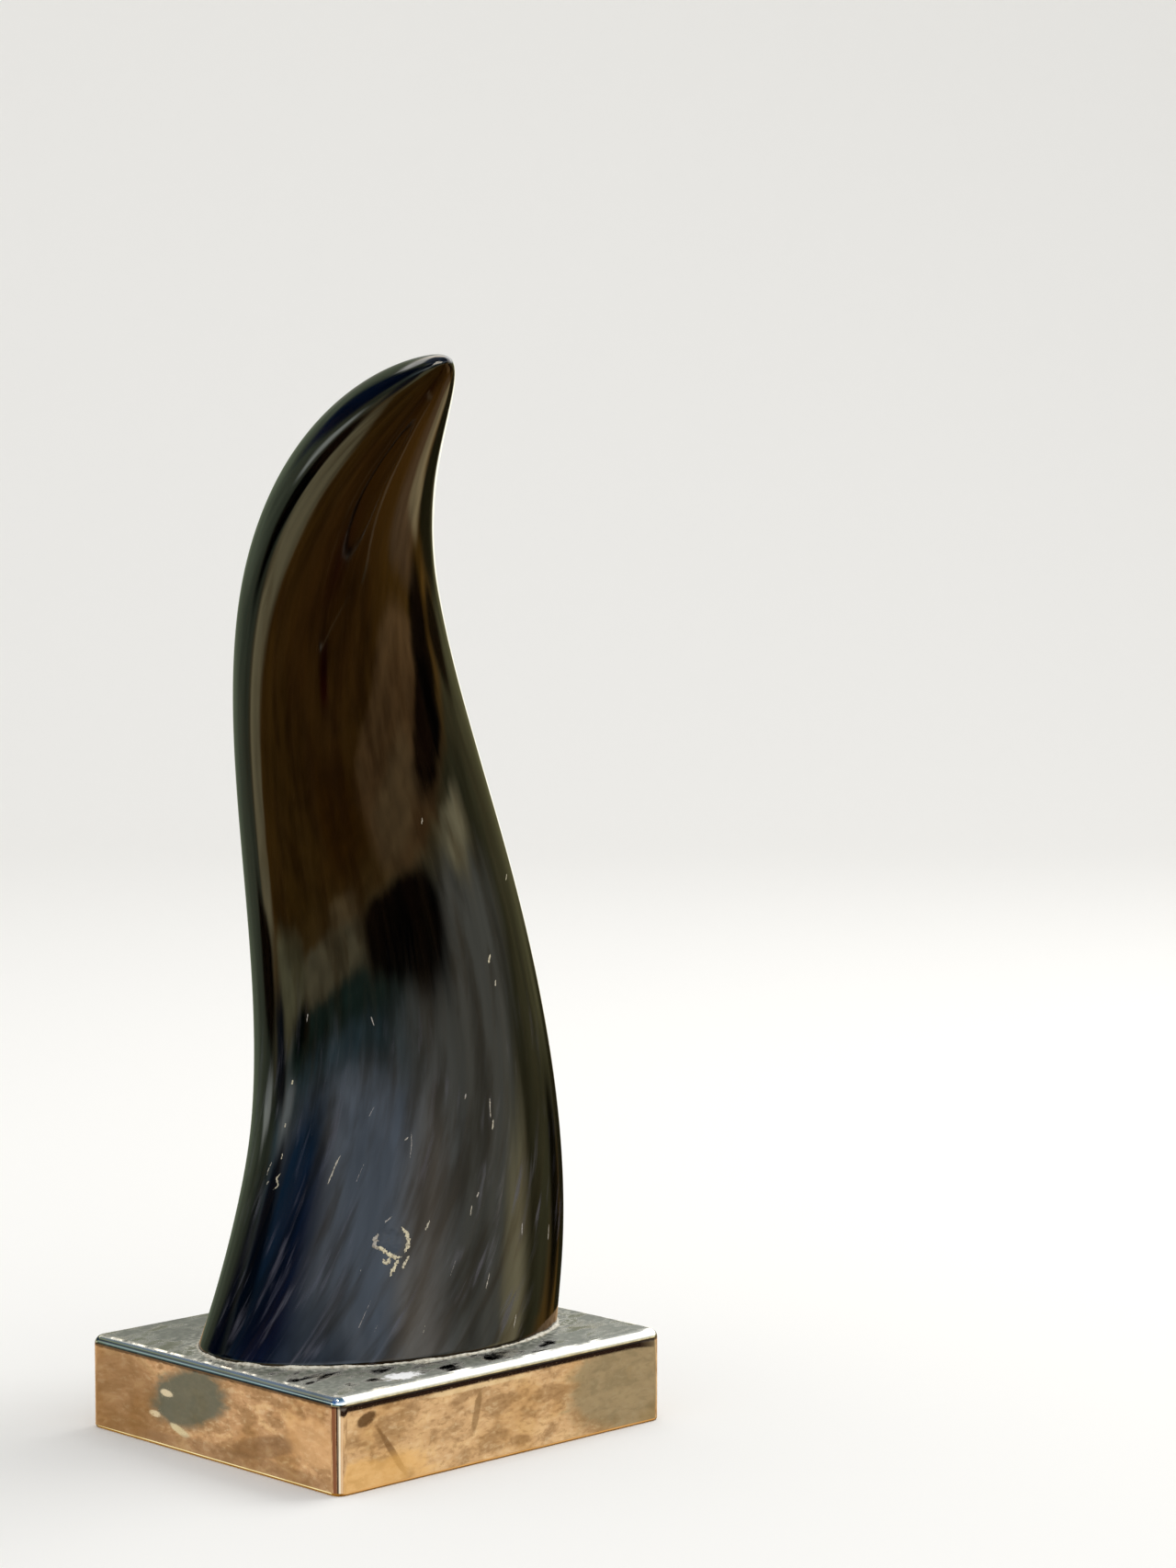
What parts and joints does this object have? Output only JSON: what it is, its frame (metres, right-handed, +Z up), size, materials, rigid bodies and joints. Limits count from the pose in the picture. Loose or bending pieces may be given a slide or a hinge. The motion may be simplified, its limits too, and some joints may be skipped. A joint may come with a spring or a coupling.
{
  "type": "buffalo horn",
  "caption": "Polished dark buffalo horn curving up and over from an oval foot fixed to a rectangular silver-plated plinth with rounded edges.",
  "frame": {"origin": "middle of the plinth's flat underside", "axes": "+X along the plinth's longer side, +Y along its shorter side, +Z up; the horn's tip leans over the corner at -X -Y"},
  "size_m": [0.123, 0.1422, 0.2857],
  "materials": {
    "polished_horn": "natural dark horn, buffed to a wet gloss, with lengthwise brown streaks and fine scratches",
    "silver_plate": "silver plate, mirror polished, with fine wipe scratches",
    "dried_adhesive": "off-white dried adhesive, uneven"
  },
  "bodies": {
    "root": {"horn": "polished_horn", "plinth": "silver_plate", "glue_bead": "dried_adhesive"}
  },
  "joints": []
}
